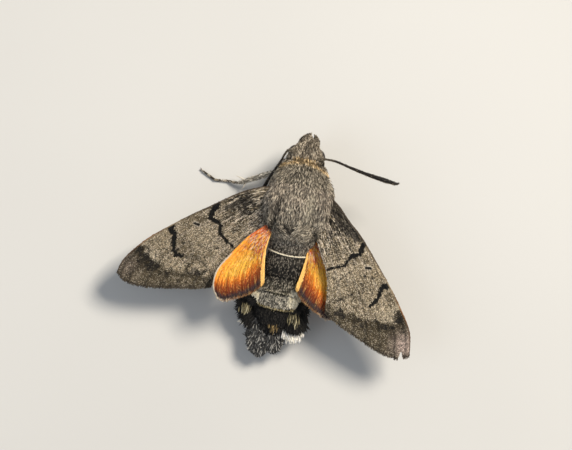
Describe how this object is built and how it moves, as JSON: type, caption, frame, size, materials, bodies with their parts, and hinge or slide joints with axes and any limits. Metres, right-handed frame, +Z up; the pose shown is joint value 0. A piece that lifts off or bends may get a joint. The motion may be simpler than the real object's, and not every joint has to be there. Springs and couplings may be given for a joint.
{
  "type": "hummingbird hawk moth",
  "caption": "Life-size hummingbird hawk moth at rest with half-open wings, orange hindwings, furry body, tufted abdomen and a tail fan.",
  "frame": {"origin": "centre of the outline's box, on the floor that the six feet stand on", "axes": "+Z up from the floor, head toward -Y, the moth's left wing toward +X"},
  "size_m": [0.0378, 0.0286, 0.0097],
  "materials": {
    "fur": "dense matt fur, grey-brown with pale flecks",
    "collar": "buff fur",
    "forewing": "matt scales, grey-brown with black lines",
    "hindwing": "matt scales, orange with a red-brown edge",
    "abdomen": "matt scales, dark grey with cream marks",
    "tail": "long scales, grey-black",
    "eye": "glossy, dark brown",
    "palp": "short scales, grey above and pale below",
    "tongue": "smooth horn, dark brown",
    "antenna": "finely ringed horn, dark brown",
    "leg": "short scales, grey-brown with pale rings"
  },
  "bodies": {
    "root": {"abdomen_front": "abdomen", "abdomen_rear": "abdomen", "antenna_left": "antenna", "antenna_right": "antenna", "collar": "collar", "eye_left": "eye", "eye_right": "eye", "foreleg_left_femur": "leg", "foreleg_left_tarsus": "leg", "foreleg_left_tibia": "leg", "foreleg_right_femur": "leg", "foreleg_right_tarsus": "leg", "foreleg_right_tibia": "leg", "forewing_left": "forewing", "forewing_right": "forewing", "head": "fur", "hindleg_left_femur": "leg", "hindleg_left_tarsus": "leg", "hindleg_left_tibia": "leg", "hindleg_right_femur": "leg", "hindleg_right_tarsus": "leg", "hindleg_right_tibia": "leg", "hindwing_left": "hindwing", "hindwing_right": "hindwing", "midleg_left_femur": "leg", "midleg_left_tarsus": "leg", "midleg_left_tibia": "leg", "midleg_right_femur": "leg", "midleg_right_tarsus": "leg", "midleg_right_tibia": "leg", "palp_left": "palp", "palp_right": "palp", "proboscis": "tongue", "tail_fan": "tail", "tegula_left": "fur", "tegula_right": "fur", "thorax": "fur"}
  },
  "joints": []
}
